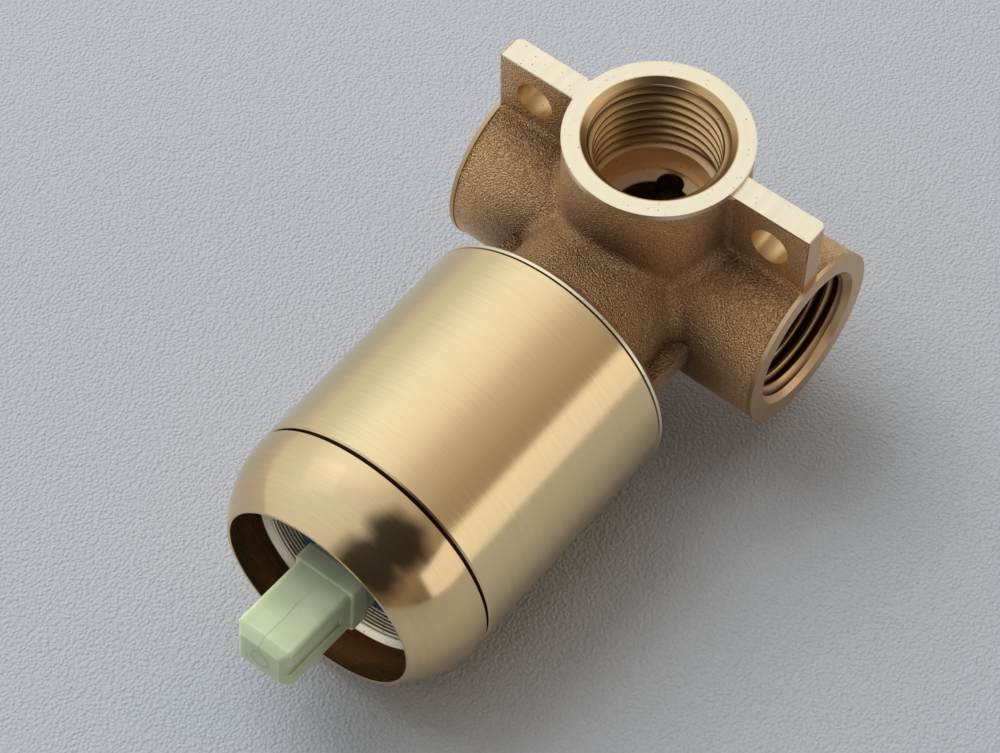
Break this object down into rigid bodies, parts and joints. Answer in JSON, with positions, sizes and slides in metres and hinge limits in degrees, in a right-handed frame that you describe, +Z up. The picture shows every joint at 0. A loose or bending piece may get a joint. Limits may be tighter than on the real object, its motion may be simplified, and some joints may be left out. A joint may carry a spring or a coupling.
{
  "type": "concealed shower valve",
  "caption": "Built-in single-lever shower mixer valve: cast body with threaded inlets and outlet, cover sleeve, domed cap and ceramic disc cartridge.",
  "frame": {"origin": "midway between the two fixing holes, on the back face of the fixing ears", "axes": "+Z up through the outlet socket, X along the line of the two inlets with the cold inlet at +X, -Y out of the wall towards the user along the cartridge"},
  "size_m": [0.056, 0.1048, 0.0474],
  "materials": {
    "cast_brass": "sand-cast skin, rough and speckled, with turned faces left bright",
    "brushed_gold": "satin champagne gold, brushed round the tube",
    "polished_gold": "fine satin to polished champagne gold",
    "turned_brass": "turned",
    "blue_plastic": "moulded, slight gloss",
    "white_plastic": "moulded acetal",
    "ceramic": "lapped alumina",
    "ptfe": "PTFE",
    "pin_steel": "ground stainless",
    "jade_plastic": "pale jade, slightly translucent moulding",
    "rubber": "black nitrile"
  },
  "bodies": {
    "root": {"valve_body": "cast_brass", "sleeve": "brushed_gold", "sleeve_o_ring": "rubber", "dome_cap": "polished_gold", "dome_o_ring": "rubber", "retaining_nut": "turned_brass", "cartridge_housing": "blue_plastic", "cartridge_base": "white_plastic", "disc_gasket": "rubber", "fixed_disc": "ceramic", "hot_port_seal": "rubber", "cold_port_seal": "rubber", "outlet_port_seal": "rubber", "glide_ring": "ptfe"},
    "carrier": {"stem_carrier": "blue_plastic", "pivot_pin": "pin_steel", "carrier_o_ring": "rubber"},
    "lever": {"lever_stem": "jade_plastic"},
    "disc": {"moving_disc": "ceramic", "disc_driver": "white_plastic"}
  },
  "joints": [
    {"name": "temperature", "type": "hinge", "parent": "root", "child": "carrier", "pos_m": [0, -0.06125, -0.01965], "axis": [0, 1, 0], "range_deg": [-45, 45]},
    {"name": "flow", "type": "hinge", "parent": "carrier", "child": "lever", "pos_m": [0, -0.06125, -0.01965], "axis": [-1, 0, 0], "range_deg": [-13, 10]},
    {"name": "disc_slide", "type": "slide", "parent": "carrier", "child": "disc", "axis": [0, 0, -1], "range_m": [-0.0016, 0.0013]}
  ],
  "couplings": [
    {"joint": "disc_slide", "follows": "flow", "m_per_rad": 0.0066}
  ]
}
